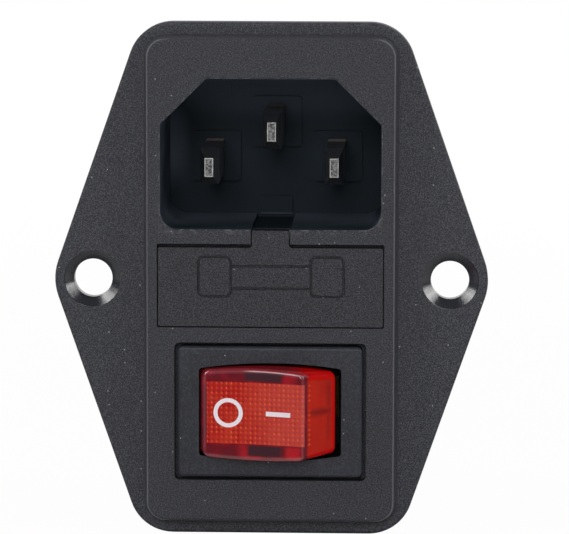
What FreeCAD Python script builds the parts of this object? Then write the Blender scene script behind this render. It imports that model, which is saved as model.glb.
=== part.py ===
import FreeCAD, Part
import math
import os

os.makedirs("parts", exist_ok=True)
V = FreeCAD.Vector

# Power entry module: appliance inlet, fuse drawer and lit rocker switch on one screw flange.
# Millimetres. +X right, +Y into the panel, +Z up. The origin lies midway between the two
# screw holes, on the face of the flange that seats on the panel.

# Flange and raised face
flange_height = 57.6
flange_top_width = 29.1
flange_point_width = 49.2
flange_thick = 2.4
flange_corner_r = 5.0
flange_point_r = 6.0
flange_edge_r = 0.4
screw_spacing = 40.0
screw_hole_d = 4.3
countersink_d = 6.4
face_width = 27.55
face_margin = 1.8
face_rise = 1.9
face_corner_r = 2.0
face_draft = 0.45
face_edge_r = 0.35
stack_rise = 0.31

# Box behind the panel
box_wall = 1.4
box_corner_r = 1.2
skirt_depth = 8.0

# Appliance inlet
inlet_width = 24.6
inlet_height = 16.75
inlet_corner_cut = 5.1
inlet_corner_r = 2.0
inlet_edge_r = 0.4
inlet_lead_in = 0.15
inlet_depth = 17.2
inlet_floor = 2.3
pin_spacing = 14.0
pin_rise = 4.0
pin_lift = 0.3
pin_width = 2.0
pin_height = 4.0
pin_set_back = 2.4
pin_tip_width = 0.95
pin_tip_height = 2.1
pin_tip_length = 1.4
pad_margin = 0.9
pad_rise = 0.5
key_rib_width = 1.6
key_rib_spacing = 12.0
key_rib_length = 3.3
key_rib_end_r = 0.78
stop_pad_width = 3.7
stop_pad_height = 2.1
fit_gap = 0.02

# Quick-connect tabs
tab_width = 4.8
tab_thick = 0.8
tab_length = 8.0
tab_hole_d = 1.5
tab_hole_inset = 2.6
tab_corner = 0.9

# Fuse drawer
drawer_width = 25.05
drawer_height = 9.1
drawer_top_gap = 1.8
drawer_face_thick = 1.3
drawer_corner_r = 0.2
drawer_gap = 0.15
drawer_top_clear = 0.42
pull_width = 4.1
pull_corner_r = 0.4
pull_clear = 0.1
pull_notch_depth = 5.2
key_groove_depth = 0.4
bay_ledge_low = 0.5
bay_ledge_high = 0.55
tray_floor = 1.0
tray_wall = 0.8
tray_height = 5.6
saddle_spacing = 6.4
saddle_thick = 1.2
saddle_height = 3.6
saddle_throat = 3.95

# Glass fuse
fuse_length = 20.0
fuse_cap_d = 5.2
fuse_cap_length = 5.3
fuse_cap_end = 0.4
fuse_tube_d = 4.7
fuse_tube_wall = 0.5
fuse_wire_d = 0.2
fuse_slack = 0.25
tray_rear_gap = 0.95

# Fuse contact strips
strip_thick = 0.5
strip_bow = 1.3
strip_bow_length = 6.4
strip_lip = 0.4
strip_touch = 0.1
strip_wall_gap = 0.2
link_width = 3.2
stub_half_w = 0.6
stub_half_h = 1.2
rivet_over = 0.4

# Switch body
drawer_bezel_gap = 2.25
bezel_width = 20.6
bezel_height = 14.72
bezel_thick = 2.0
bezel_proud = 0.3
bezel_corner_r = 0.6
bezel_edge_r = 0.35
bezel_gap = 0.42
lip_thick = 0.5
lip_relief = 0.2
mouth_width = 15.9
mouth_height = 9.84
mouth_bow = 0.63
mouth_corner_r = 0.35
switch_width = 19.1
switch_height = 12.9
switch_wall_end = 0.4
switch_wall_side = 0.75
switch_floor = 1.5
switch_gap = 0.15
lug_reach = 0.7
lug_length = 2.6
lug_width = 4.0

# Rocker, in its middle position, measured from its pivot
rocker_throw = 25.0
pivot_depth = 5.6
crest_spread = 11.45
crest_height = 8.35
rocker_dip = 0.4
rocker_end_angle = 60.5
rocker_end_low = 3.85
rocker_side_gap = 0.35
rocker_wall = 1.1
rocker_foot_wall = 1.4
rocker_corner_r = 0.9
rocker_edge_r = 0.45
cheek_width = 4.6
cheek_low = 1.9
trunnion_d = 2.5
pivot_clearance = 0.05
post_d = 3.4
post_low = 1.0
cut_over = 1.0
same_place = 1e-5

# Plunger, its spring and the see-saw blade
plunger_d = 2.0
plunger_clearance = 0.05
plunger_reach = 4.4
plunger_top = 1.2
bore_top = 5.2
plunger_stroke = 0.3
spring_wire_d = 0.28
spring_turns = 4.5
spring_side_gap = 0.1
spring_top_gap = 0.65
blade_throw = 16.0
blade_gap = 0.15
blade_thick = 0.4
blade_width = 4.6
blade_left = 6.4
blade_right = 4.5
blade_nose_gap = 0.03
nose_notch = 0.35
prong_width = 0.85
prong_rise = 0.3
contact_x = 5.2
contact_d = 2.2
contact_thick = 0.5
contact_edge_r = 0.15
contact_gap = 0.1
terminal_spacing = 7.0

# Lamp in the rocker
lamp_x = 3.9
lamp_d = 2.3
lamp_length = 6.4
lamp_pinch_d = 1.3
lamp_pinch_length = 0.7
lamp_dome = 1.0
lamp_dome_steps = 3
lamp_lead_apart = 0.92
lamp_roof_gap = 0.1
resistor_d = 1.7
resistor_length = 4.6
resistor_end_d = 0.9
resistor_waist_d = 1.4
resistor_cap_length = 1.4
resistor_taper = 0.3
lead_d = 0.4
lead_side = 3.62
spring_lead_drop = 0.3
tail_low = 0.6
lead_bend_r = 0.3
wire_sides = 8
finger_thick = 0.3
finger_width = 1.6
finger_gap = 0.35

# Levels along Y
flange_front = -flange_thick
face_front = flange_front - face_rise
inlet_floor_y = face_front + inlet_depth
box_rear = inlet_floor_y + inlet_floor
bezel_front = face_front - bezel_proud
bezel_rear = bezel_front + bezel_thick
pivot_y = bezel_front + pivot_depth

# Places that several pieces share
face_height = flange_height - 2 * face_margin
stack_height = inlet_height + drawer_top_gap + drawer_height + drawer_bezel_gap + bezel_height
inlet_high = stack_rise + stack_height / 2
inlet_low = inlet_high - inlet_height
inlet_z = (inlet_low + inlet_high) / 2
pin_row_z = inlet_z + pin_lift - pin_rise / 2
earth_z = pin_row_z + pin_rise
drawer_z = inlet_low - drawer_top_gap - drawer_height / 2
switch_z = drawer_z - drawer_height / 2 - drawer_bezel_gap - bezel_height / 2
pull_top = inlet_low - pull_clear
strip_face = fuse_length / 2 + strip_touch
strip_inner = strip_face + strip_bow
strip_outer = strip_inner + strip_thick
bay_half = strip_outer + strip_wall_gap
bay_low = drawer_z - drawer_height / 2 + bay_ledge_low
bay_high = drawer_z + drawer_height / 2 - bay_ledge_high
drawer_rear = face_front + drawer_face_thick
fuse_y = inlet_floor_y - tray_rear_gap - tray_wall - fuse_slack - fuse_cap_d / 2
box_half = max(inlet_width / 2, bay_half) + box_wall
bay_floor_z = bay_low - box_wall
blade_top = plunger_reach + blade_gap
nose_low = blade_top + blade_thick + blade_nose_gap
half_blade = math.radians(blade_throw / 2)
contact_edge = contact_x + contact_d / 2
fixed_top = (nose_low + contact_edge * math.sin(half_blade)
             + (contact_thick - blade_nose_gap) * math.cos(half_blade) + contact_gap)
shelf_top = fixed_top + contact_thick
switch_floor_low = shelf_top + tab_thick
switch_rear = pivot_y + switch_floor_low + switch_floor
bore_d = plunger_d + 2 * plunger_clearance
lamp_height = crest_height - rocker_dip / 2 - rocker_wall - lamp_roof_gap - lamp_d / 2
spring_lead_height = bore_top - spring_lead_drop
tail_z = resistor_length / 2 + lead_bend_r


def box_corners(width, height, x=0.0, z=0.0):
    # corners of a rectangle about (x, z)
    left, right = x - width / 2, x + width / 2
    low, high = z - height / 2, z + height / 2
    return [(left, low), (left, high), (right, high), (right, low)]


def rounded_path(points, radii, closed):
    # straight runs joined by arcs of the given radii
    count = len(points)
    turns = []
    for i, corner in enumerate(points):
        if radii[i] == 0:
            turns.append((corner, corner, corner))
            continue
        back = (points[i - 1] - corner).normalize()
        ahead = (points[(i + 1) % count] - corner).normalize()
        half = back.getAngle(ahead) / 2
        inward = (back + ahead).normalize()
        centre = corner + inward * (radii[i] / math.sin(half))
        reach = radii[i] / math.tan(half)
        turns.append((corner + back * reach, centre - inward * radii[i], corner + ahead * reach))
    edges = []
    for i, (start, middle, end) in enumerate(turns):
        if radii[i] > 0:
            edges.append(Part.Arc(start, middle, end).toShape())
        following = turns[(i + 1) % count][0]
        if (closed or i < count - 1) and end.distanceToPoint(following) > same_place:
            edges.append(Part.LineSegment(end, following).toShape())
    return Part.Wire(edges)


def outline(corners, radii, y):
    # closed wire in the plane at y, with one radius for all corners or one for each
    if not isinstance(radii, list):
        radii = [radii] * len(corners)
    return rounded_path([V(x, y, z) for x, z in corners], radii, True)


def prism(corners, radii, y_from, y_to):
    return Part.Face(outline(corners, radii, y_from)).extrude(V(0, y_to - y_from, 0))


def block(x0, x1, y0, y1, z0, z1):
    return Part.makeBox(x1 - x0, y1 - y0, z1 - z0, V(x0, y0, z0))


def edges_at(shape, y):
    return [e for e in shape.Edges if all(abs(v.Y - y) < same_place for v in e.Vertexes)]


def fuse_all(first, *others):
    return first.multiFuse(list(others)).removeSplitter()


def mirrored(shape):
    return shape.mirror(V(0, 0, 0), V(1, 0, 0))


def inlet_corners(grow):
    # the inlet recess with its two cut corners, grown evenly on every side
    half = inlet_width / 2 + grow
    low, high = inlet_low - grow, inlet_high + grow
    cut = inlet_corner_cut + grow * (2 - math.sqrt(2))
    return [(-half, low), (-half, high - cut), (-half + cut, high),
            (half - cut, high), (half, high - cut), (half, low)]


def inlet_radii(grow):
    return [inlet_corner_r + grow] + [inlet_edge_r + grow] * 4 + [inlet_corner_r + grow]


def bowed_prism(half, end, corner_r, y_from, y_to):
    # straight ends and long sides bowed outwards, as the rocker and its opening have
    top = end + mouth_bow
    corners = [V(-half, y_from, switch_z - end), V(-half, y_from, switch_z + end),
               V(half, y_from, switch_z + end), V(half, y_from, switch_z - end)]
    edges = [Part.LineSegment(corners[0], corners[1]).toShape(),
             Part.Arc(corners[1], V(0, y_from, switch_z + top), corners[2]).toShape(),
             Part.LineSegment(corners[2], corners[3]).toShape(),
             Part.Arc(corners[3], V(0, y_from, switch_z - top), corners[0]).toShape()]
    solid = Part.Face(Part.Wire(edges)).extrude(V(0, y_to - y_from, 0))
    along_y = [e for e in solid.Edges if abs(e.tangentAt(e.FirstParameter).y) > 0.99]
    return solid.makeFillet(corner_r, along_y) if corner_r > 0 else solid


def make_flange():
    half_top = flange_top_width / 2
    half_point = flange_point_width / 2
    high = flange_height / 2
    corners = [(-half_point, 0), (-half_top, high), (half_top, high),
               (half_point, 0), (half_top, -high), (-half_top, -high)]
    radii = [flange_point_r, flange_corner_r, flange_corner_r] * 2
    plate = prism(corners, radii, flange_front, 0)
    return plate.makeFillet(flange_edge_r, edges_at(plate, flange_front))


def make_face():
    foot = outline(box_corners(face_width + 2 * face_draft, face_height + 2 * face_draft),
                   face_corner_r + face_draft, flange_front)
    top = outline(box_corners(face_width, face_height), face_corner_r, face_front)
    raised = Part.makeLoft([foot, top], True, True)
    return raised.makeFillet(face_edge_r, edges_at(raised, face_front))


def make_box():
    grown = inlet_corners(box_wall)
    high = inlet_high + box_wall
    cut = grown[2][0] - grown[1][0]
    upper = [(-box_half, bay_floor_z), (-box_half, high - cut), (-box_half + cut, high),
             (box_half - cut, high), (box_half, high - cut), (box_half, bay_floor_z)]
    radii = [box_corner_r] * 6
    inlet_box = prism(upper, radii, flange_front, box_rear)
    low = switch_z - switch_height / 2 - switch_gap - box_wall
    middle = (low + bay_floor_z) / 2
    overlap = 2 * box_corner_r
    skirt = prism(box_corners(2 * box_half, bay_floor_z - low + overlap, 0, middle + overlap / 2),
                  box_corner_r, flange_front, skirt_depth)
    room = prism(box_corners(2 * (box_half - box_wall), bay_floor_z - low - box_wall, 0,
                             middle + box_wall / 2), box_corner_r, 0, skirt_depth)
    return inlet_box.fuse(skirt).cut(room)


def make_inlet_housing():
    body = fuse_all(make_flange(), make_face(), make_box())
    recess = prism(inlet_corners(0), inlet_radii(0), face_front, inlet_floor_y)
    lead_in = Part.makeLoft([outline(inlet_corners(inlet_lead_in), inlet_radii(inlet_lead_in), face_front),
                             outline(inlet_corners(0), inlet_radii(0), face_front + inlet_lead_in)],
                            True, True)
    front = box_corners(drawer_width + 2 * drawer_gap, drawer_height + 2 * drawer_gap, 0, drawer_z)
    drawer_seat = prism(front, drawer_corner_r, face_front, drawer_rear + fit_gap)
    bay = block(-bay_half, bay_half, face_front, inlet_floor_y, bay_low, bay_high)
    pull_half = pull_width / 2 + drawer_gap
    notch = block(-pull_half, pull_half, face_front, face_front + pull_notch_depth, drawer_z, inlet_z)
    groove = block(-pull_half, pull_half, face_front + pull_notch_depth, inlet_floor_y,
                   inlet_low - key_groove_depth, inlet_z)
    seat = prism(box_corners(bezel_width + 2 * bezel_gap, bezel_height + 2 * bezel_gap, 0, switch_z),
                 bezel_corner_r, face_front, bezel_rear)
    switch_hole = prism(box_corners(switch_width + 2 * switch_gap, switch_height + 2 * switch_gap,
                                    0, switch_z), bezel_corner_r, face_front, skirt_depth)
    body = body.cut([recess, lead_in, drawer_seat, bay, notch, groove, seat, switch_hole])
    body = fuse_all(body, *inlet_floor_detail())
    return body.cut(pin_slots() + strip_slots() + screw_holes()).removeSplitter()


def inlet_floor_detail():
    # raised pads round the pins and over the groove, and two ribs with a round end against the top wall
    top = inlet_floor_y - pad_rise
    pads = []
    for x, z in pin_places():
        corners = box_corners(pin_height + 2 * pad_margin, pin_height + 2 * pad_margin, x, z)
        pads.append(prism(corners, pad_margin / 2, top, inlet_floor_y + pad_rise))
    for side in (-1, 1):
        corners = box_corners(key_rib_width, key_rib_length, side * key_rib_spacing / 2,
                              inlet_high - key_rib_length / 2)
        pads.append(prism(corners, [key_rib_end_r, 0, 0, key_rib_end_r], top, inlet_floor_y + pad_rise))
    stop = box_corners(stop_pad_width, stop_pad_height, 0, inlet_low + stop_pad_height / 2)
    pads.append(prism(stop, 0, top, inlet_floor_y + pad_rise))
    return pads


def pin_places():
    return [(-pin_spacing / 2, pin_row_z), (pin_spacing / 2, pin_row_z), (0.0, earth_z)]


def pin_slots():
    half_w = pin_width / 2 + fit_gap
    half_h = pin_height / 2 + fit_gap
    return [block(x - half_w, x + half_w, inlet_floor_y - pad_rise, box_rear, z - half_h, z + half_h)
            for x, z in pin_places()]


def strip_slots():
    half = tab_width / 2 + fit_gap
    slot = block(strip_inner - fit_gap, strip_outer + fit_gap, inlet_floor_y, box_rear,
                 drawer_z - half, drawer_z + half)
    return [slot, mirrored(slot)]


def screw_holes():
    cuts = []
    depth = (countersink_d - screw_hole_d) / 2
    for side in (-1, 1):
        at = V(side * screw_spacing / 2, flange_front, 0)
        cuts.append(Part.makeCylinder(screw_hole_d / 2, flange_thick, at, V(0, 1, 0)))
        cuts.append(Part.makeCone(countersink_d / 2, screw_hole_d / 2, depth, at, V(0, 1, 0)))
    return cuts


def make_tab(x, z, y_from, thick, length=tab_length, corner=tab_corner):
    # quick-connect tab along +Y with a cut end and a detent hole
    end = y_from + length
    half = tab_width / 2
    points = [V(x - thick / 2, y_from, z - half), V(x - thick / 2, end - corner, z - half),
              V(x - thick / 2, end, z - half + corner), V(x - thick / 2, end, z + half - corner),
              V(x - thick / 2, end - corner, z + half), V(x - thick / 2, y_from, z + half)]
    tab = Part.Face(Part.makePolygon(points + points[:1])).extrude(V(thick, 0, 0))
    hole = Part.makeCylinder(tab_hole_d / 2, thick, V(x - thick / 2, end - tab_hole_inset, z), V(1, 0, 0))
    return tab.cut(hole)


def make_pin_blade(x, z):
    tip_y = face_front + pin_set_back
    shoulder = tip_y + pin_tip_length
    tip = outline(box_corners(pin_tip_width, pin_tip_height, x, z), 0, tip_y)
    full = outline(box_corners(pin_width, pin_height, x, z), 0, shoulder)
    nose = Part.makeLoft([tip, full], True, True)
    shank = block(x - pin_width / 2, x + pin_width / 2, shoulder, box_rear,
                  z - pin_height / 2, z + pin_height / 2)
    return nose.fuse(shank)


def make_tabbed_pin(x, z):
    return fuse_all(make_pin_blade(x, z), make_tab(x, z, box_rear, tab_thick))


def make_line_pin():
    # the line pin ends in a stub, peened over the strip that leads to the fuse
    x, z = pin_spacing / 2, pin_row_z
    stub_end = box_rear + strip_thick
    stub = block(x - stub_half_w, x + stub_half_w, box_rear, stub_end, z - stub_half_h, z + stub_half_h)
    foot = outline(box_corners(2 * (stub_half_w + rivet_over), 2 * (stub_half_h + rivet_over), x, z),
                   rivet_over, stub_end)
    crown = outline(box_corners(2 * stub_half_w, 2 * stub_half_h, x, z), rivet_over / 2,
                    stub_end + strip_thick)
    return fuse_all(make_pin_blade(x, z), stub, Part.makeLoft([foot, crown], True, True))


def make_strip(y_rear):
    # bowed contact strip on the +X side of the bay, touching the end of the fuse
    half = strip_bow_length / 2
    radius = (half ** 2 + strip_bow ** 2) / (2 * strip_bow)
    centre_x = strip_face + radius
    thin = radius - strip_thick
    inner_run = math.sqrt(radius ** 2 - (centre_x - strip_inner) ** 2)
    outer_run = math.sqrt(thin ** 2 - (centre_x - strip_outer) ** 2)
    z = drawer_z - tab_width / 2
    front = fuse_y - inner_run - strip_lip

    def at(x, y):
        return V(x, y, z)

    inner_rear = at(strip_inner, fuse_y + inner_run)
    inner_front = at(strip_inner, fuse_y - inner_run)
    outer_rear = at(strip_outer, fuse_y + outer_run)
    outer_front = at(strip_outer, fuse_y - outer_run)
    edges = [Part.LineSegment(at(strip_inner, y_rear), inner_rear).toShape(),
             Part.Arc(inner_rear, at(strip_face, fuse_y), inner_front).toShape(),
             Part.LineSegment(inner_front, at(strip_inner, front)).toShape(),
             Part.LineSegment(at(strip_inner, front), at(strip_outer, front)).toShape(),
             Part.LineSegment(at(strip_outer, front), outer_front).toShape(),
             Part.Arc(outer_front, at(strip_face + strip_thick, fuse_y), outer_rear).toShape(),
             Part.LineSegment(outer_rear, at(strip_outer, y_rear)).toShape(),
             Part.LineSegment(at(strip_outer, y_rear), at(strip_inner, y_rear)).toShape()]
    return Part.Face(Part.Wire(edges)).extrude(V(0, 0, tab_width))


def make_fuse_contact_line():
    x = pin_spacing / 2
    link_top = pin_row_z + link_width / 2 + rivet_over
    low, high = drawer_z - tab_width / 2, drawer_z + tab_width / 2
    knee = pin_row_z - link_width / 2 - rivet_over
    left, right = x - link_width / 2, x + link_width / 2
    strip_left = strip_outer - link_width
    corners = [(strip_left, low), (strip_left, high), (left, knee), (left, link_top),
               (right, link_top), (right, knee), (strip_outer, high), (strip_outer, low)]
    link = prism(corners, 0, box_rear, box_rear + strip_thick)
    slot = block(x - stub_half_w - fit_gap, x + stub_half_w + fit_gap, box_rear, box_rear + strip_thick,
                 pin_row_z - stub_half_h - fit_gap, pin_row_z + stub_half_h + fit_gap)
    return fuse_all(make_strip(box_rear + strip_thick), link).cut(slot)


def make_fuse_contact_load():
    tab = make_tab(-(strip_inner + strip_thick / 2), drawer_z, box_rear, strip_thick)
    return fuse_all(mirrored(make_strip(box_rear)), tab)


def make_fuse_drawer():
    half = drawer_width / 2
    low = drawer_z - drawer_height / 2
    high = drawer_z + drawer_height / 2 + drawer_gap - drawer_top_clear
    pull = pull_width / 2
    corners = [(-half, low), (-half, high), (-pull, high), (-pull, pull_top), (pull, pull_top),
               (pull, high), (half, high), (half, low)]
    r = drawer_corner_r
    front = prism(corners, [r, r, pull_corner_r, pull_corner_r / 2, pull_corner_r / 2, pull_corner_r, r, r],
                  face_front, drawer_rear)
    floor_low = bay_low + drawer_gap
    floor_top = floor_low + tray_floor
    tray_half = bay_half - drawer_gap
    tray_rear = fuse_y + fuse_cap_d / 2 + fuse_slack + tray_wall
    wall_top = floor_top + tray_height
    part_y = fuse_y - fuse_cap_d / 2 - fuse_slack
    side_half = fuse_length / 2 + tray_wall
    tray = block(-tray_half, tray_half, face_front, tray_rear, floor_low, floor_top)
    pocket_wall = block(-side_half, side_half, face_front, part_y, floor_low, wall_top)
    pocket = block(-fuse_length / 2 - drawer_gap, fuse_length / 2 + drawer_gap, drawer_rear,
                   part_y - tray_wall, floor_top, wall_top)
    rear_half = saddle_spacing / 2 + saddle_thick
    rear = block(-rear_half, rear_half, tray_rear - tray_wall, tray_rear, floor_low, wall_top)
    saddles = []
    for side in (-1, 1):
        x = side * saddle_spacing / 2
        saddles.append(block(x - saddle_thick / 2, x + saddle_thick / 2, part_y - tray_wall, tray_rear,
                             floor_low, floor_top + saddle_height))
    fuse_half = fuse_length / 2
    cradle_r = fuse_tube_d / 2 + fit_gap
    cradle = Part.makeCylinder(cradle_r, fuse_length, V(-fuse_half, fuse_y, drawer_z), V(1, 0, 0))
    throat = block(-fuse_half, fuse_half, fuse_y - saddle_throat / 2, fuse_y + saddle_throat / 2,
                   drawer_z, wall_top)
    tray = fuse_all(tray, pocket_wall.cut(pocket), rear, *[s.cut([cradle, throat]) for s in saddles])
    return fuse_all(front, tray)


def make_fuse():
    half = fuse_length / 2
    axis = V(1, 0, 0)
    inner_half = half - fuse_cap_end
    start = V(-inner_half, fuse_y, drawer_z)
    tube = Part.makeCylinder(fuse_tube_d / 2, 2 * inner_half, start, axis)
    tube = tube.cut(Part.makeCylinder(fuse_tube_d / 2 - fuse_tube_wall, 2 * inner_half, start, axis))
    cap = Part.makeCylinder(fuse_cap_d / 2, fuse_cap_length, V(half, fuse_y, drawer_z), V(-1, 0, 0))
    rim = [e for e in cap.Edges if abs(e.CenterOfMass.x - half) < same_place]
    cap = cap.makeChamfer(fuse_cap_end / 2, rim)
    cap = cap.cut(Part.makeCylinder(fuse_tube_d / 2 + fit_gap, fuse_cap_length - fuse_cap_end,
                                    V(inner_half, fuse_y, drawer_z), V(-1, 0, 0)))
    wire = Part.makeCylinder(fuse_wire_d / 2, 2 * inner_half, start, axis)
    return tube, mirrored(cap), cap, wire


def sw(x, height, z=0.0):
    # a point in the switch: height is measured outwards from the rocker's pivot
    return V(x, pivot_y - height, switch_z + z)


def side_prism(points, z0, z1):
    # profile seen from above, given by x and height, from z0 to z1 about the switch's centre line
    wire = Part.makePolygon([sw(x, h, z0) for x, h in points + points[:1]])
    return Part.Face(wire).extrude(V(0, 0, z1 - z0))


def make_switch_housing():
    lip_rear = bezel_front + lip_thick
    floor_front = switch_rear - switch_floor
    frame = box_corners(bezel_width, bezel_height, 0, switch_z)
    bezel = prism(frame, bezel_corner_r, bezel_front, bezel_rear)
    bezel = bezel.makeFillet(bezel_edge_r, edges_at(bezel, bezel_front))
    case = box_corners(switch_width, switch_height, 0, switch_z)
    body = prism(case, bezel_corner_r, lip_rear, switch_rear)
    side = switch_width / 2
    ledge = pivot_y - switch_gap
    lugs = []
    for sign in (-1, 1):
        points = [(sign * (side - lug_reach), ledge), (sign * (side + lug_reach), ledge),
                  (sign * side, ledge - lug_length), (sign * (side - lug_reach), ledge - lug_length)]
        lugs.append(side_prism(points, -lug_width / 2, lug_width / 2))
    solid = fuse_all(bezel, body, *lugs)
    mouth = bowed_prism(mouth_width / 2, mouth_height / 2, mouth_corner_r, bezel_front, lip_rear)
    # the lip slopes away from the rocker's lowered end
    flat = mouth_height / 2 - mouth_corner_r
    edge = mouth_width / 2
    front, rear = pivot_depth, pivot_depth - lip_thick
    reliefs = []
    for sign in (-1, 1):
        points = [(sign * (edge - lip_relief), front), (sign * edge, front),
                  (sign * (edge + lip_relief), rear), (sign * (edge - lip_relief), rear)]
        reliefs.append(side_prism(points, -flat, flat))
    inside = box_corners(switch_width - 2 * switch_wall_end, switch_height - 2 * switch_wall_side,
                         0, switch_z)
    room = prism(inside, bezel_corner_r, lip_rear, floor_front)
    pivot = Part.makeCylinder(trunnion_d / 2 + pivot_clearance, switch_height, sw(0, 0, -switch_height / 2),
                              V(0, 0, 1))
    half_thick = tab_thick / 2 + fit_gap
    half_wide = tab_width / 2 + fit_gap
    slots = [block(x - half_thick, x + half_thick, floor_front, switch_rear,
                   switch_z - half_wide, switch_z + half_wide)
             for x in (-terminal_spacing, 0.0, terminal_spacing)]
    return solid.cut([mouth, room, pivot] + reliefs + slots)


def rocker_section(inset, low):
    # half of the crest spread, crest height and half length at the foot of the sloping ends
    slope = math.radians(rocker_end_angle)
    half = crest_spread / 2 - inset * math.tan(slope / 2)
    height = crest_height - inset
    return half, height, half + (height - low) / math.tan(slope)


def rocker_block(inset, low, underside):
    # profile seen from above: dished top from crest to crest, sloping ends, given underside
    half, height, foot = rocker_section(inset, low)
    z = -switch_height / 2
    edges = [Part.Arc(sw(-half, height, z), sw(0, height - rocker_dip, z), sw(half, height, z)).toShape()]
    path = [(half, height), (foot, low)] + underside + [(-foot, low), (-half, height)]
    for (xa, ha), (xb, hb) in zip(path, path[1:]):
        edges.append(Part.LineSegment(sw(xa, ha, z), sw(xb, hb, z)).toShape())
    return Part.Face(Part.Wire(edges)).extrude(V(0, 0, switch_height))


def make_rocker():
    foot = rocker_section(0, rocker_end_low)[2]
    end = mouth_height / 2 - rocker_side_gap
    outside, inside = sw(0, crest_height + cut_over).y, sw(0, -cheek_low - cut_over).y
    cheek = cheek_width / 2
    hem = rocker_end_low - rocker_wall / 2
    half_under = [(foot - rocker_wall, hem), (cheek + rocker_wall, hem - rocker_wall), (cheek, -cheek_low)]
    underside = half_under + [(-x, h) for x, h in reversed(half_under)]
    plan = bowed_prism(foot, end, 0, outside, inside)
    shell = rocker_block(0, rocker_end_low, underside).common(plan)
    rim = sw(0, rocker_end_low + rocker_edge_r).y
    slopes = [e for e in shell.Edges if e.CenterOfMass.y < rim and e.BoundBox.YLength > rocker_end_low / 2]
    shell = shell.makeFillet(rocker_corner_r, slopes)
    lens = min(shell.Faces, key=lambda face: face.CenterOfMass.y)
    shell = shell.makeFillet(rocker_edge_r, lens.OuterWire.Edges)
    room_plan = bowed_prism(foot, end - rocker_wall, rocker_corner_r, outside, inside)
    room_foot = foot - rocker_foot_wall
    room = rocker_block(rocker_wall, rocker_end_low, [(room_foot, -cheek_low - cut_over),
                                                      (-room_foot, -cheek_low - cut_over)])
    shell = shell.cut(room.common(room_plan))
    half_axle = switch_height / 2 - fit_gap
    inner = end - rocker_wall
    axles = [Part.makeCylinder(trunnion_d / 2, half_axle - inner, sw(0, 0, z), V(0, 0, 1))
             for z in (-half_axle, inner)]
    post = Part.makeCylinder(post_d / 2, post_low + crest_height - rocker_dip - rocker_wall / 2,
                             sw(0, -post_low), V(0, -1, 0))
    bore = Part.makeCylinder(bore_d / 2, post_low + bore_top, sw(0, -post_low), V(0, -1, 0))
    lead_hole = Part.makeCylinder(lead_d / 2 + fit_gap, post_d, sw(0, spring_lead_height, -post_d),
                                  V(0, 0, 1))
    return fuse_all(shell, post, *axles).cut([bore, lead_hole])


def make_plunger():
    tip = plunger_reach - plunger_d / 2
    stem = Part.makeCylinder(plunger_d / 2, plunger_top + tip, sw(0, -tip), V(0, -1, 0))
    return fuse_all(stem, Part.makeSphere(plunger_d / 2, sw(0, -tip)))


def wire_section(centre, along, diameter):
    # many-sided section of a round wire that runs along one of the axes
    first = V(along.y, along.z, along.x)
    second = along.cross(first)
    corners = []
    for i in range(wire_sides):
        angle = 2 * math.pi * (i + 0.5) / wire_sides
        corners.append(centre + (first * math.cos(angle) + second * math.sin(angle)) * (diameter / 2))
    return Part.makePolygon(corners + corners[:1])


def make_plunger_spring():
    low = plunger_top + plunger_stroke + fit_gap
    height = bore_top - spring_top_gap - low - spring_wire_d
    radius = bore_d / 2 - spring_side_gap - spring_wire_d / 2
    helix = Part.makeHelix(height / spring_turns, height, radius)
    ring = wire_section(V(radius, 0, 0), V(0, 1, 0), spring_wire_d)
    coil = Part.Wire(helix.Edges).makePipeShell([ring], True, True)
    coil.rotate(V(0, 0, 0), V(1, 0, 0), 90)
    return coil.translate(sw(0, low + spring_wire_d / 2))


def make_contact_blade():
    blade = side_prism([(-blade_left, -blade_top), (blade_right, -blade_top),
                        (blade_right, -blade_top - blade_thick), (-blade_left, -blade_top - blade_thick)],
                       -blade_width / 2, blade_width / 2)
    half = tab_thick / 2 + nose_notch
    inner = tab_width / 2 - prong_width - blade_gap
    deep = -blade_top - 2 * blade_thick
    sides = [side_prism([(-half, 0), (half, 0), (half, deep), (-half, deep)], z, z + blade_width)
             for z in (inner, -inner - blade_width)]
    return blade.cut(sides)


def make_contact_button(x, low, diameter):
    # silver contact button standing outwards from its seat
    button = Part.makeCylinder(diameter / 2, contact_thick, sw(x, low), V(0, -1, 0))
    return button.makeChamfer(contact_edge_r, edges_at(button, sw(0, low + contact_thick).y))


def make_moving_contact():
    button = make_contact_button(-contact_x, 0, contact_d)
    button.rotate(sw(0, 0), V(1, 0, 0), 180)
    return button.translate(sw(0, -blade_top - blade_thick) - sw(0, 0))


def terminal_tab(x, low):
    start = pivot_y + low
    return make_tab(x, switch_z, start, tab_thick, switch_rear + tab_length - start)


def make_terminal_line():
    half = tab_width / 2
    left, right = -terminal_spacing - tab_thick / 2, -contact_x + contact_d
    shelf = side_prism([(left, -shelf_top), (right, -shelf_top), (right, -switch_floor_low),
                        (left, -switch_floor_low)], -half, half)
    return fuse_all(terminal_tab(-terminal_spacing, shelf_top), shelf)


def make_terminal_load():
    # the blade rocks on the round nose, between two prongs
    half = tab_thick / 2
    nose_half = tab_width / 2 - prong_width
    stem = terminal_tab(0.0, nose_low + half)
    nose = Part.makeCylinder(half, 2 * nose_half, sw(0, -nose_low - half, -nose_half), V(0, 0, 1))
    profile = [(-half, prong_rise - blade_top), (half, prong_rise - blade_top),
               (half, -nose_low - tab_thick), (-half, -nose_low - tab_thick)]
    prongs = [side_prism(profile, z, z + prong_width) for z in (nose_half, -tab_width / 2)]
    return fuse_all(stem, nose, *prongs)


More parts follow.
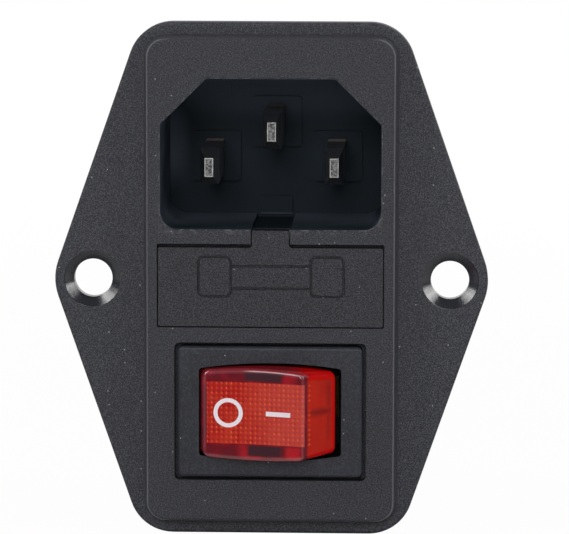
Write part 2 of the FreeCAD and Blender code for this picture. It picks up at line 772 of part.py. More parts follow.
def make_lamp_finger():
    # leaf spring on the lamp terminal, reaching under the lamp's tail wire
    root = terminal_spacing - tab_thick / 2
    knee = -shelf_top / 2
    tip_x = lamp_x - lead_d
    turn = math.radians(rocker_throw / 2)
    tip = tail_low * math.cos(turn) - lamp_x * math.sin(turn) - finger_gap
    profile = [(root, -shelf_top), (root, knee), (tip_x, tip), (tip_x - finger_thick, tip - finger_thick),
               (root - finger_thick, knee - finger_thick), (root - finger_thick, -shelf_top)]
    return side_prism(profile, tail_z + lead_d - finger_width, tail_z + lead_d)


def spin_about_z(x, height, profile):
    # turned piece whose axis runs along Z through x and height
    wire = Part.makePolygon([sw(x + r, height, z) for r, z in profile + profile[:1]])
    return Part.Face(wire).revolve(sw(x, height), V(0, 0, 1), 360)


def make_neon_lamp():
    r, half = lamp_d / 2, lamp_length / 2
    dome = []
    for step in range(lamp_dome_steps + 1):
        angle = math.pi / 2 * step / lamp_dome_steps
        dome.append((r * math.cos(angle), half - lamp_dome + lamp_dome * math.sin(angle)))
    pinch = [(0, -half), (lamp_pinch_d / 2, -half), (r, -half + lamp_pinch_length)]
    return spin_about_z(-lamp_x, lamp_height, pinch + dome[:-1] + [(0, half)])


def make_resistor():
    r, half = resistor_d / 2, resistor_length / 2
    cap = half - resistor_cap_length
    quarter = [(resistor_end_d / 2, half), (r, half - resistor_taper), (r, cap),
               (resistor_waist_d / 2, cap - resistor_taper)]
    return spin_about_z(lamp_x, lamp_height, [(0, -half)] + [(x, -z) for x, z in quarter]
                        + list(reversed(quarter)) + [(0, half)])


def bent_lead(points):
    # a straight bar for each run along an axis and a turned bend for each arc
    path = rounded_path(points, [0] + [lead_bend_r] * (len(points) - 2) + [0], False)
    runs = []
    for edge in path.OrderedEdges:
        start, end = edge.valueAt(edge.FirstParameter), edge.valueAt(edge.LastParameter)
        section = Part.Face(wire_section(start, edge.tangentAt(edge.FirstParameter), lead_d))
        if isinstance(edge.Curve, Part.Circle):
            turn = math.degrees(edge.LastParameter - edge.FirstParameter)
            runs.append(section.revolve(edge.Curve.Center, edge.Curve.Axis, turn))
        else:
            runs.append(section.extrude(end - start))
    return fuse_all(runs[0], *runs[1:])


def make_leads():
    lamp_end, resistor_end = -lamp_length / 2, resistor_length / 2
    apart = lamp_lead_apart / 2
    link_x = apart - lamp_x
    link = bent_lead([sw(link_x, lamp_height, lamp_end), sw(link_x, lamp_height, -lead_side),
                      sw(lamp_x, lamp_height, -lead_side), sw(lamp_x, lamp_height, -resistor_end)])
    drop_x = -apart - lamp_x
    spring = bent_lead([sw(drop_x, lamp_height, lamp_end), sw(drop_x, lamp_height, -lead_side),
                        sw(drop_x, spring_lead_height, -lead_side), sw(0, spring_lead_height, -lead_side),
                        sw(0, spring_lead_height, 0)])
    tail = bent_lead([sw(lamp_x, lamp_height, resistor_end), sw(lamp_x, lamp_height, tail_z),
                      sw(lamp_x, tail_low, tail_z)])
    return link, spring, tail


def make_switch_parts():
    link, spring_lead, tail = make_leads()
    on_rocker = {
        "rocker": make_rocker(),
        "plunger": make_plunger(),
        "plunger_spring": make_plunger_spring(),
        "neon_lamp": make_neon_lamp(),
        "lamp_resistor": make_resistor(),
        "lamp_link_wire": link,
        "lamp_spring_wire": spring_lead,
        "lamp_tail_wire": tail,
    }
    on_blade = {"contact_blade": make_contact_blade(), "moving_contact": make_moving_contact()}
    # the switch rests in its off position: left end in, blade tipped the other way
    for shape in on_rocker.values():
        shape.rotate(sw(0, 0), V(0, 0, 1), -rocker_throw / 2)
    for shape in on_blade.values():
        shape.rotate(sw(0, -nose_low), V(0, 0, 1), blade_throw / 2)
    fixed = {
        "switch_housing": make_switch_housing(),
        "fixed_contact": make_contact_button(-contact_x, -shelf_top, contact_d),
        "switch_terminal_line": make_terminal_line(),
        "switch_terminal_load": make_terminal_load(),
        "switch_terminal_lamp": terminal_tab(terminal_spacing, shelf_top - tab_thick),
        "lamp_finger": make_lamp_finger(),
    }
    return {**fixed, **on_rocker, **on_blade}


def make_inlet_parts():
    fuse_tube, cap_left, cap_right, fuse_wire = make_fuse()
    return {
        "inlet_housing": make_inlet_housing(),
        "line_pin": make_line_pin(),
        "neutral_pin": make_tabbed_pin(-pin_spacing / 2, pin_row_z),
        "earth_pin": make_tabbed_pin(0.0, earth_z),
        "fuse_contact_line": make_fuse_contact_line(),
        "fuse_contact_load": make_fuse_contact_load(),
        "fuse_drawer": make_fuse_drawer(),
        "fuse_tube": fuse_tube,
        "fuse_cap_left": cap_left,
        "fuse_cap_right": cap_right,
        "fuse_wire": fuse_wire,
    }


for name, shape in {**make_inlet_parts(), **make_switch_parts()}.items():
    shape.exportStep("parts/" + name + ".step")
    print(name, len(shape.Solids), round(shape.Volume, 2), shape.isValid())
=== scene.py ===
import math
import bpy
from mathutils import Matrix, Vector


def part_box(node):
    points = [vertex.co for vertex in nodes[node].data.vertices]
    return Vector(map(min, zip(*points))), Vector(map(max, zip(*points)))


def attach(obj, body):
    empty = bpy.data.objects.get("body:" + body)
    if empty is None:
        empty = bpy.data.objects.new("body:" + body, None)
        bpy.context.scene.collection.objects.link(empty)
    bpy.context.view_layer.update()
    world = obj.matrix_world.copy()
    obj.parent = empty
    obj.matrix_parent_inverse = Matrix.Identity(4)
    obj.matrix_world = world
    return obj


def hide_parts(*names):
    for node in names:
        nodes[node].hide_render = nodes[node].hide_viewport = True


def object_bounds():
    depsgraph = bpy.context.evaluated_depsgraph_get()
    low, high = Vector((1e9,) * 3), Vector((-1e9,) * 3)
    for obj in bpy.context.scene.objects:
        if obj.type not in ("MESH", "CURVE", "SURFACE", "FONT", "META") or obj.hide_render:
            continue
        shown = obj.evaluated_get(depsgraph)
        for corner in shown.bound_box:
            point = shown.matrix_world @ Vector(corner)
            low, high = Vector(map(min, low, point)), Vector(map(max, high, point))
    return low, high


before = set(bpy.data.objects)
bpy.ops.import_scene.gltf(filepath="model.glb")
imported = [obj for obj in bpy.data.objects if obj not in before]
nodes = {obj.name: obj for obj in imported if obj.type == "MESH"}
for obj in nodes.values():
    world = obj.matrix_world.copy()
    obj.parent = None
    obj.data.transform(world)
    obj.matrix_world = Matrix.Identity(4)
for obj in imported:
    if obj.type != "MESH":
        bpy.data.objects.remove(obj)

mm = 0.001
cadLow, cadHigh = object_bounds()                        # the CAD box, before anything is added
print("frame loaded with", len(nodes), "nodes")


def lowOf(node):                                     # lowest corner of a CAD node, in mm
    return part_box(node)[0] / mm


def highOf(node):                                    # highest corner of a CAD node, in mm
    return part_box(node)[1] / mm


def middleOf(node):
    return (lowOf(node) + highOf(node)) / 2


# Shader helpers

class Wire:                                          # one shader output; sums on it add Math nodes
    def __init__(self, tree, socket=None):
        self.tree = tree
        self.socket = socket

    def node(self, kind, settings, sockets, out=0):
        made = self.tree.nodes.new("ShaderNode" + kind)
        for name, value in settings.items():
            setattr(made, name, value)
        for name, value in sockets.items():
            if isinstance(value, Wire):
                self.tree.links.new(value.socket, made.inputs[name])
            else:
                made.inputs[name].default_value = value
        if isinstance(out, tuple):
            return [Wire(self.tree, made.outputs[name]) for name in out]
        return Wire(self.tree, made.outputs[out]) if len(made.outputs) else None

    def calc(self, operation, *values):
        return self.node("Math", {"operation": operation}, dict(enumerate(values)))

    def __add__(self, other):
        return self.calc("ADD", self, other)

    def __radd__(self, other):
        return self.calc("ADD", other, self)

    def __sub__(self, other):
        return self.calc("SUBTRACT", self, other)

    def __rsub__(self, other):
        return self.calc("SUBTRACT", other, self)

    def __mul__(self, other):
        return self.calc("MULTIPLY", self, other)

    def __rmul__(self, other):
        return self.calc("MULTIPLY", other, self)

    def __truediv__(self, other):
        return self.calc("DIVIDE", self, other)

    def __gt__(self, other):
        return self.calc("GREATER_THAN", self, other)

    def __lt__(self, other):
        return self.calc("LESS_THAN", self, other)

    def __abs__(self):
        return self.calc("ABSOLUTE", self)

    def __neg__(self):
        return self.calc("MULTIPLY", self, -1)


def rgb(screen):                                     # screen values 0 to 255 as a linear colour
    linear = []
    for value in screen:
        value = value / 255
        linear.append(value / 12.92 if value <= 0.04045 else ((value + 0.055) / 1.055) ** 2.4)
    return (*linear, 1.0)


def grey(level):                                     # a linear grey
    return (level, level, level, 1.0)


def startMaterial(name):
    made = bpy.data.materials.new(name)
    made.use_nodes = True
    made.node_tree.nodes.clear()
    return made, Wire(made.node_tree)


def close(wire, shader):                             # the last node of a material
    wire.node("OutputMaterial", {}, {"Surface": shader})


def blend(mask, low, high):                          # colour from low to high with the mask
    return mask.node("Mix", {"data_type": "RGBA"}, {0: mask, 6: low, 7: high}, out=2)


def mixed(mask, first, second):                      # one surface, and another where the mask is 1
    return mask.node("MixShader", {}, {0: mask, 1: first, 2: second})


def rise(value, start, end):                         # 0 before start, 1 after end, smooth between
    return value.node("MapRange", {"interpolation_type": "SMOOTHSTEP"},
                      {"Value": value, "From Min": start, "From Max": end})


def inside(value, middle, half, soft):               # 1 within half of the middle
    return 1 - rise(abs(value - middle), half - soft, half + soft)


def patch(x, z, spot):                               # soft box: middle, half and soft edge each way
    return inside(x, *spot[0]) * inside(z, *spot[1])


def strongest(*masks):
    top = masks[0]
    for mask in masks[1:]:
        top = top.calc("MAXIMUM", top, mask)
    return top


def positive(value):
    return value.calc("MAXIMUM", value, 0.0)


def distance(across, along):
    return across.calc("SQRT", across * across + along * along)


def placeInMm(wire, turn=0.0, centre=(0, 0, 0)):     # object coordinates in mm, turned about Z
    spin = Matrix.Rotation(math.radians(turn), 3, "Z")
    coords = wire.node("TexCoord", {}, {}, out="Object")
    return wire.node("Mapping", {}, {
        "Vector": coords, "Location": -(spin @ Vector(centre)), "Scale": (1 / mm, 1 / mm, 1 / mm),
        "Rotation": (0, 0, math.radians(turn))})


def axes(place):
    return place.node("SeparateXYZ", {}, {"Vector": place}, out=("X", "Y", "Z"))


def noise(place, perMm, detail, rough):
    return place.node("TexNoise", {}, {
        "Vector": place, "Scale": perMm, "Detail": detail, "Roughness": rough})


def stretched(place, scale):
    return place.node("Mapping", {}, {"Vector": place, "Scale": scale})


noiseMiddle = 0.5


def spread(value, amount):                           # a noise about its middle
    return amount * (value - noiseMiddle)


def bump(height, depth):                             # depth in mm
    return height.node("Bump", {}, {"Height": height, "Distance": depth * mm})


speckFrom = 0.9                                      # about one cell in ten has a speck


def dust(place, look):                               # light specks on a face that looks forward
    x, y, z = axes(place)
    flat = place.node("CombineXYZ", {}, {"X": x, "Y": z})
    spot, tint = place.node("TexVoronoi", {"voronoi_dimensions": "2D"},
                            {"Vector": flat, "Scale": look["speckPerMm"]}, out=("Distance", "Color"))
    chance = place.node("SeparateColor", {}, {"Color": tint}, out="Red")
    size = chance * look["speckSize"] * look["speckPerMm"]
    return (spot < size) * (chance > speckFrom) * (y < look["speckBefore"])


# Blasted skin of the housing and the drawer

blastLook = {
    "grainDetail": 2.0, "grainRough": 0.62, "grainTone": (0.34, 0.8), "grainShare": 0.46,
    "cloudNoise": (0.16, 2.0, 0.5), "cloudShare": 0.12, "roughSpread": 0.12,
}


def grainyBlack(place, look):                        # colour, roughness and height of the skin
    grain = noise(place, look["grainPerMm"], blastLook["grainDetail"], blastLook["grainRough"])
    cloud = noise(place, *blastLook["cloudNoise"])
    colour = blend(rise(grain, *blastLook["grainTone"]), rgb(look["deep"]), rgb(look["light"]))
    share = blastLook["grainShare"] + blastLook["cloudShare"] * cloud
    colour = blend(share, rgb(look["skin"]), colour)
    colour = blend(dust(place, look), colour, rgb(look["dust"]))
    return colour, look["skinRough"] + spread(grain, blastLook["roughSpread"]), grain


# Inlet recess

inletLook = {                                        # mm; a range for inside is middle, half, soft edge
    # lift is the tone of painted light laid over the recess's walls, top and nook, which lie in shade
    "skin": (29, 36, 42), "haze": (33, 41, 48), "lift": (98, 107, 120),
    "outline": ((0.0, 12.5, 0.1), (14.05, 8.75, 0.1)), "cut": 30.1, "start": (0.03, 0.2), "end": 12.95,
    "wallX": 12.3, "wallZ": 5.87, "wallCorner": 2.0, "wallStart": (1.88, 1.96), "wallLow": 5.77,
    "wallEnd": 12.87, "wallDepth": (-2.0, 9.0), "sideStart": (0.8, 1.6),
    "sidePaintedLight": 0.16, "leftPaintedLight": 0.6, "leftDrop": 0.06, "lowPaintedLight": 0.7,
    "topZ": (16.0, 22.0), "topPaintedLight": 0.72,
    "nookX": (9.4, 12.6), "nookZ": (15.0, 4.0, 3.0), "nookPaintedLight": 0.75,
    "rough": 0.5, "roughSpread": 0.2, "specular": 0.06, "polishDepth": 0.006,
}


def inletColour(place, flow, look):                  # almost one tone: painted light lifts the walls, the top and the left nook, which lie in shade
    x, y, z = axes(place)
    depth = rise(y, *look["wallDepth"])
    pastX = positive(abs(x) - (look["wallX"] - look["wallCorner"]))
    pastZ = positive(look["wallZ"] + look["wallCorner"] - z)
    onWall = rise(distance(pastX, pastZ), *look["wallStart"])
    onWall = onWall * (z > look["wallLow"]) * (y < look["wallEnd"])
    side = rise(pastX, *look["sideStart"])
    # painted light: the lift tone goes onto the walls, the top and the upper left nook, where shade falls
    sidePaintedLight = look["sidePaintedLight"] + (x < 0) * (look["leftPaintedLight"] * depth - look["leftDrop"])
    wallPaintedLight = (side * sidePaintedLight + (1 - side) * look["lowPaintedLight"] * depth) * onWall
    topPaintedLight = rise(z, *look["topZ"]) * look["topPaintedLight"]
    nookPaintedLight = rise(-x, *look["nookX"]) * inside(z, *look["nookZ"]) * depth * look["nookPaintedLight"]
    colour = blend(flow, rgb(look["skin"]), rgb(look["haze"]))
    return blend(strongest(wallPaintedLight, topPaintedLight, nookPaintedLight), colour, rgb(look["lift"]))


# Housing

housingLook = {
    "skin": (42, 43, 49), "light": (105, 106, 112), "deep": (18, 18, 22), "dust": (140, 140, 142),
    # worn is the tone of painted highlights on the inlet's lead-in edge and the raised face's rounded side
    # edges
    "worn": (118, 118, 121), "sink": (31, 32, 37), "rear": (36, 37, 40), "rearHaze": (60, 61, 66),
    "grainPerMm": 7.0, "grainDepth": 0.03, "skinRough": 0.62, "skinSpecular": 0.27,
    "speckPerMm": 0.55, "speckSize": 0.075, "speckBefore": -2.0,
    "lipDepth": (0.07, 0.06, 0.03), "lipNoise": (2.2, 2.0, 0.5), "lipTone": (0.5, 0.62),
    "edgeHighlightDepth": (0.16, 0.08, 0.06), "edgeHighlightX": (11.0, 12.8), "wornShare": 0.6,
    "shadedFrontDepth": (0.1, 0.4), "frontShadeShare": 0.16,
    "rearY": (-0.02, 0.05), "rearTone": (0.35, 0.75), "rearShare": 0.22, "rearRough": 0.3,
    "flowStretch": (0.5, 0.12, 0.5), "flowNoise": (1.0, 3.0, 0.6),
    "holeX": 20.0, "sinkEdge": (3.14, 3.24), "sinkBelly": 0.17, "coneDepth": 1.0,
    "streaks": 5.0, "streakNoise": (1.0, 3.0, 0.6), "streakRough": 0.22,
    "polishNoise": (3.0, 3.0, 0.6), "polishHeight": 0.002, "smoothRough": 0.1, "smoothSpecular": 0.65,
}


def housingMaterial(look, inlet):
    made, wire = startMaterial("blasted_black_housing")
    place = placeInMm(wire)
    x, y, z = axes(place)
    behind = y - lowOf("inlet_housing").y            # mm behind the raised face
    outline = patch(x, z, inlet["outline"]) * (abs(x) + z < inlet["cut"])
    recessed = outline * rise(behind, *inlet["start"]) * (y < inlet["end"])

    colour, rough, grain = grainyBlack(place, look)
    # painted highlight along the inlet's lead-in edge, broken up by noise
    lipHighlight = outline * inside(behind, *look["lipDepth"])
    lipHighlight = lipHighlight * rise(noise(place, *look["lipNoise"]), *look["lipTone"])
    colour = blend(lipHighlight * look["wornShare"], colour, rgb(look["worn"]))
    # painted shade: the front of the raised face is darkened a little, as it gets more light than the
    # flange
    front = 1 - rise(behind, *look["shadedFrontDepth"])
    colour = blend(front * look["frontShadeShare"], colour, rgb(look["deep"]))
    # painted highlight on the rounded side edges of the raised face
    edge = inside(behind, *look["edgeHighlightDepth"]) * rise(abs(x), *look["edgeHighlightX"]) * (1 - recessed)
    colour = blend(edge * look["wornShare"], colour, rgb(look["worn"]))
    blasted = wire.node("BsdfPrincipled", {}, {
        "Base Color": colour, "Roughness": rough, "Specular IOR Level": look["skinSpecular"],
        "Normal": bump(grain, look["grainDepth"])})

    holeDx = abs(x) - look["holeX"]
    holeR = distance(holeDx, z)
    sink = 1 - rise(holeR, *look["sinkEdge"])        # the two countersinks
    rear = rise(y, *look["rearY"]) * (1 - recessed)
    flow = noise(stretched(place, look["flowStretch"]), *look["flowNoise"])
    polish = noise(place, *look["polishNoise"])
    around = wire.calc("ARCTAN2", z, holeDx) * look["streaks"]
    streak = noise(wire.node("CombineXYZ", {}, {"X": around}), *look["streakNoise"]) * sink
    colour = blend(sink, rgb(look["rear"]), rgb(look["sink"]))
    colour = blend(rise(flow, *look["rearTone"]) * look["rearShare"], colour, rgb(look["rearHaze"]))
    cone = look["polishHeight"] * polish - sink * holeR * look["sinkBelly"]
    smooth = wire.node("BsdfPrincipled", {}, {
        "Base Color": colour, "Specular IOR Level": look["smoothSpecular"],
        "Roughness": look["smoothRough"] + look["streakRough"] * streak + look["rearRough"] * rear,
        "Normal": bump(cone, look["coneDepth"])})

    recess = wire.node("BsdfPrincipled", {}, {
        "Base Color": inletColour(place, flow, inlet), "Specular IOR Level": inlet["specular"],
        "Roughness": inlet["rough"] + spread(polish, inlet["roughSpread"]),
        "Normal": bump(polish, inlet["polishDepth"])})
    outer = mixed(strongest(sink, rear), blasted, smooth)
    close(wire, mixed(recessed, outer, recess))
    return made


# Drawer

drawerLook = {
    "skin": (31, 31, 36), "light": (98, 98, 105), "deep": (12, 12, 16), "dust": (130, 130, 133),
    "grainPerMm": 7.4, "grainDepth": 0.026, "skinRough": 0.58, "specular": 0.25,
    "speckPerMm": 0.5, "speckSize": 0.06, "speckBefore": -4.0,
    "tray": (33, 34, 37), "trayY": (-3.2, -2.9), "trayPolish": 0.12, "trayFlat": 0.75,
    # the pull tab's top is a dark painted shade
    "tabTopShade": (14, 16, 19), "tabRough": 0.9, "tabSkin": 0.03,
}


def drawerMaterial(look):
    made, wire = startMaterial("blasted_black_drawer")
    place = placeInMm(wire)
    x, y, z = axes(place)
    colour, rough, grain = grainyBlack(place, look)
    tray = rise(y, *look["trayY"])
    face = wire.node("BsdfPrincipled", {}, {
        "Base Color": blend(tray, colour, rgb(look["tray"])), "Specular IOR Level": look["specular"],
        "Roughness": rough - look["trayPolish"] * tray,
        "Normal": bump(grain * (1 - look["trayFlat"] * tray), look["grainDepth"])})
    dull = wire.node("BsdfPrincipled", {}, {         # the pull tab's top has no sheen, and its darker colour is painted shade
        "Base Color": blend(grain, rgb(look["tabTopShade"]), rgb(look["tray"])),
        "Roughness": look["tabRough"], "Specular IOR Level": 0.0})
    onTab = z > highOf("fuse_drawer").z - look["tabSkin"]
    close(wire, mixed(onTab, face, dull))
    return made


# Switch body

switchLook = {
    "bezel": (31, 32, 38), "blue": (37, 39, 48), "pale": (78, 80, 86), "body": (30, 31, 34),
    "dust": (150, 152, 156), "speckPerMm": 0.6, "speckSize": 0.065, "speckBefore": -4.0,
    "grainNoise": (6.4, 2.0, 0.55), "grainTone": (0.4, 0.75), "grainShare": 0.4, "grainDepth": 0.014,
    "cloudNoise": (0.22, 3.0, 0.55), "cloudTone": (0.4, 0.7), "bodyY": (-4.0, -2.0),
    "rough": 0.46, "roughSpread": 0.2, "specular": 0.28,
}


def switchMaterial(look):
    made, wire = startMaterial("satin_black_switch")
    place = placeInMm(wire)
    x, y, z = axes(place)
    grain = noise(place, *look["grainNoise"])
    cloud = noise(place, *look["cloudNoise"])
    colour = blend(rise(cloud, *look["cloudTone"]), rgb(look["bezel"]), rgb(look["blue"]))
    colour = blend(rise(grain, *look["grainTone"]) * look["grainShare"], colour, rgb(look["pale"]))
    colour = blend(rise(y, *look["bodyY"]), colour, rgb(look["body"]))
    colour = blend(dust(place, look), colour, rgb(look["dust"]))
    close(wire, wire.node("BsdfPrincipled", {}, {
        "Base Color": colour, "Roughness": look["rough"] + spread(grain, look["roughSpread"]),
        "Specular IOR Level": look["specular"], "Normal": bump(grain, look["grainDepth"])}))
    return made


# Red rocker, in mm from its pivot and turned level

waffleLook = {                                       # places and sizes of the dots are shares of a cell
    "pitch": 0.55, "window": ((0.28, 5.6, 0.07), (0.19, 3.47, 0.07)), "peakDepth": 0.02,
    "deep": (112, 10, 10), "mid": (164, 26, 20), "bright": (214, 88, 54), "haze": (184, 76, 68),
    "cloudTone": (0.35, 0.7), "cloudShare": 0.2, "reflectionX": (-2.5, 4.5), "reflectionShare": 0.5,
    "glintAt": (-0.16, -0.14), "glintFlat": 0.7, "glintSize": (0.1, 0.34), "glintShare": (0.15, 0.75),
    "shadeDotAt": (0.24, 0.22), "shadeDotFlat": 1.0, "shadeDotSize": (0.12, 0.42), "shadeDotShare": (0.2, 0.6),
    "shadeDotFadeX": (-2.5, 3.5), "shadeDotFade": 0.6,
}


def cellDot(u, v, at, flat, size):                   # diamond-shaped dot in each cell
    return 1 - rise(abs(u - at[0]) + flat * abs(v - at[1]), *size)


def waffle(place, cloud, look):                      # colour with painted glints and painted shade dots, the glints, and the height of the small pyramids
    x, y, z = axes(place)
    column = place.calc("FLOOR", x / look["pitch"])
    row = place.calc("FLOOR", z / look["pitch"])
    halfCell = 0.5
    u = x / look["pitch"] - column - halfCell
    v = z / look["pitch"] - row - halfCell
    cell = place.node("CombineXYZ", {}, {"X": column, "Y": row})
    chance = place.node("TexWhiteNoise", {"noise_dimensions": "2D"}, {"Vector": cell}, out="Value")
    # painted glint: a bright dot at the lower left of each pyramid
    glint = cellDot(u, v, look["glintAt"], look["glintFlat"], look["glintSize"])
    glint = glint * (look["glintShare"][0] + look["glintShare"][1] * chance)
    # painted shade: a dark dot at the upper right of each pyramid, fainter to the right
    shadeDot = cellDot(u, v, look["shadeDotAt"], look["shadeDotFlat"], look["shadeDotSize"])
    shadeDot = shadeDot * (look["shadeDotShare"][0] + look["shadeDotShare"][1] * chance)
    shadeDot = shadeDot * (1 - look["shadeDotFade"] * rise(x, *look["shadeDotFadeX"]))
    warm = rise(cloud, *look["cloudTone"]) * look["cloudShare"]
    colour = blend(warm, rgb(look["mid"]), rgb(look["bright"]))
    # painted reflection: a pink haze over the right half of the window
    colour = blend(rise(x, *look["reflectionX"]) * look["reflectionShare"], colour, rgb(look["haze"]))
    colour = blend(shadeDot, colour, rgb(look["deep"]))
    colour = blend(glint, colour, rgb(look["bright"]))
    return colour, glint, halfCell - strongest(abs(u), abs(v))


borderLook = {
    "border": (96, 16, 27), "glow": (142, 14, 30), "cloudTone": (0.45, 0.7),
    "paintedGlow": (182, 30, 38), "paintedGlowShare": 0.65,
    "paintedGlowSpots": ((1.0, ((4.6, 0.9, 0.4), (-4.1, 0.7, 0.2))),            # share, box
               (0.5, ((-1.2, 0.6, 0.4), (-4.1, 0.7, 0.2))),
               (0.4, ((4.2, 0.7, 0.4), (4.2, 0.5, 0.2)))),
    "shade": (58, 30, 37),
    "shades": ((0.5, ((1.34, 2.12, 0.3), (4.34, 0.5, 0.12))),         # wobble, box
               (0.5, ((1.55, 1.93, 0.3), (-4.02, 0.58, 0.12))),
               (0.0, ((-5.5, 0.2, 0.12), (0.3, 2.9, 0.7)))),
    "rim": (150, 62, 74), "rimLeft": 5.825, "rimIn": (0.3, 0.1, 0.12), "rimShare": (0.1, 0.4),
    "rimZ": (-4.6, -3.4),
    "shine": (238, 212, 216), "shineIn": (0.27, 0.05, 0.07), "shineX": (2.3, 3.0, 0.9), "shineShare": 0.65,
}


def borderColour(place, cloud, toWall, onFace, onRim, look):
    x, y, z = axes(place)
    colour = blend(rise(cloud, *look["cloudTone"]), rgb(look["border"]), rgb(look["glow"]))
    # painted glow: brighter red patches where light comes through the clear border
    paintedGlowSpots = strongest(*[share * patch(x, z, spot) for share, spot in look["paintedGlowSpots"]])
    colour = blend(paintedGlowSpots * look["paintedGlowShare"], colour, rgb(look["paintedGlow"]))
    shades = strongest(*[patch(x + wobble * cloud, z, spot) for wobble, spot in look["shades"]])
    colour = blend(shades * onFace, colour, rgb(look["shade"]))
    # painted highlight: a pinkish line along the left and top edges of the front, fainter at the bottom
    toEdge = place.calc("MINIMUM", toWall, look["rimLeft"] + x)
    rim = inside(toEdge, *look["rimIn"]) * onRim
    rim = rim * (look["rimShare"][0] + look["rimShare"][1] * rise(z, *look["rimZ"]))
    colour = blend(rim, colour, rgb(look["rim"]))
    # painted highlight: a white line along the top front edge
    shine = inside(toWall, *look["shineIn"]) * inside(x, *look["shineX"]) * (z > 0) * onRim
    return blend(shine * look["shineShare"], colour, rgb(look["shine"]))


endLook = {
    # low is the tone of the painted shade on the pressed left end
    "end": (174, 26, 6), "dark": (104, 9, 8), "rim": (184, 8, 9), "low": (50, 9, 15),
    "cloudStretch": (0.5, 0.5, 0.2), "cloudNoise": (0.6, 1.0, 0.5),
    "cloudTone": (0.4, 0.7), "cloudShare": 0.45,
    "darkSpot": ((7.15, 0.85, 0.4), (0.38, 0.34, 0.45)), "darkSpotShare": 0.85,
    "band": ((7.75, 0.14, 0.22), (0.3, 3.2, 0.8)), "bandShare": 0.5,
    "dots": ((6.225, 0.35, 0.2), (0.19, 3.47, 0.07)), "dotShare": 0.6,
    "rimSide": (0.5, 0.9), "rimX": (7.85, 8.2), "rimShare": 0.8, "lowX": (0.0, 1.0), "pressedShadeDepth": (5.8, 7.0),
}


def endColour(place, glint, toWall, look):           # the two sloping ends
    x, y, z = axes(place)
    cloud = noise(stretched(place, look["cloudStretch"]), *look["cloudNoise"])
    murk = rise(cloud, *look["cloudTone"]) * look["cloudShare"]
    colour = blend(murk, rgb(look["end"]), rgb(look["dark"]))
    # a darker spot on each end
    darkSpot = patch(abs(x), z, look["darkSpot"]) * look["darkSpotShare"]
    band = patch(abs(x), z, look["band"]) * look["bandShare"]
    colour = blend(strongest(darkSpot, band), colour, rgb(look["dark"]))
    dots = glint * patch(x, z, look["dots"]) * look["dotShare"]
    colour = blend(dots, colour, rgb(waffleLook["bright"]))
    # painted highlight: a bright red line along the sides and outer edge of each end
    rim = strongest(1 - rise(toWall, *look["rimSide"]), rise(abs(x), *look["rimX"]))
    colour = blend(rim * look["rimShare"], colour, rgb(look["rim"]))
    # painted shade on the pressed left end, which sits low in the bezel
    pressed = rise(-x, *look["lowX"]) * rise(-y, *look["pressedShadeDepth"])
    return blend(pressed, colour, rgb(look["low"]))


rockerLook = {
    "pivot": (0.0, 1.0, -14.64), "restTurn": -12.5, "sideTop": 5.2, "sideBow": 0.0092,
    "cloudNoise": (0.45, 2.0, 0.5), "faceDepth": (7.0, 7.3), "rimDepth": (7.2, 7.6),
    "crestX": 5.725, "crestHalf": (0.08, 0.2),
    "crestHighlight": (5.675, 0.05, 0.08), "crestIn": 0.2, "crestHighlightShare": 0.4,
    "wall": (122, 27, 35), "wallEnd": (182, 10, 12), "wallIn": (0.12, 0.26), "wallDepth": (7.85, 8.1),
    "wallX": (3.0, 5.8), "endX": (5.975, 6.225),
    "rough": 0.08, "windowRough": 0.26, "specular": 0.12,
    "coatIn": (0.35, 0.6), "coatCrest": 0.3, "coatRough": 0.04, "coatIor": 1.8,
}


def rockerMaterial(look):
    made, wire = startMaterial("clear_red_rocker")
    place = placeInMm(wire, -look["restTurn"], look["pivot"])
    x, y, z = axes(place)
    cloud = noise(place, *look["cloudNoise"])
    toWall = look["sideTop"] - look["sideBow"] * (x * x) - abs(z)     # mm in from the bowed sides
    onFace = rise(-y, *look["faceDepth"])
    onRim = rise(-y, *look["rimDepth"])
    window = patch(x, z, waffleLook["window"]) * onFace
    waffleColour, glint, peaks = waffle(place, cloud, waffleLook)
    colour = borderColour(place, cloud, toWall, onFace, onRim, borderLook)
    colour = blend(window, colour, waffleColour)
    # painted highlight: a pinkish line down the right crest
    crestHighlight = inside(x, *look["crestHighlight"]) * (toWall > look["crestIn"])
    colour = blend(crestHighlight * look["crestHighlightShare"], colour, rgb(borderLook["rim"]))
    wall = (1 - rise(toWall, *look["wallIn"])) * (1 - rise(-y, *look["wallDepth"]))
    wallColour = blend(rise(x, *look["wallX"]), rgb(look["wall"]), rgb(look["wallEnd"]))
    colour = blend(wall, colour, wallColour)
    end = rise(abs(x), *look["endX"]) * (1 - wall)
    colour = blend(end, colour, endColour(place, glint, toWall, endLook))
    crest = 1 - rise(abs(abs(x) - look["crestX"]), *look["crestHalf"])
    coat = strongest(1 - rise(toWall, *look["coatIn"]), look["coatCrest"] * crest) * onRim
    close(wire, wire.node("BsdfPrincipled", {}, {
        "Base Color": colour, "Roughness": look["rough"] + look["windowRough"] * window,
        "Specular IOR Level": look["specular"], "Coat Weight": coat,
        "Coat Roughness": look["coatRough"], "Coat IOR": look["coatIor"],
        "Normal": bump(peaks * window, waffleLook["peakDepth"])}))
    return made


# Metals

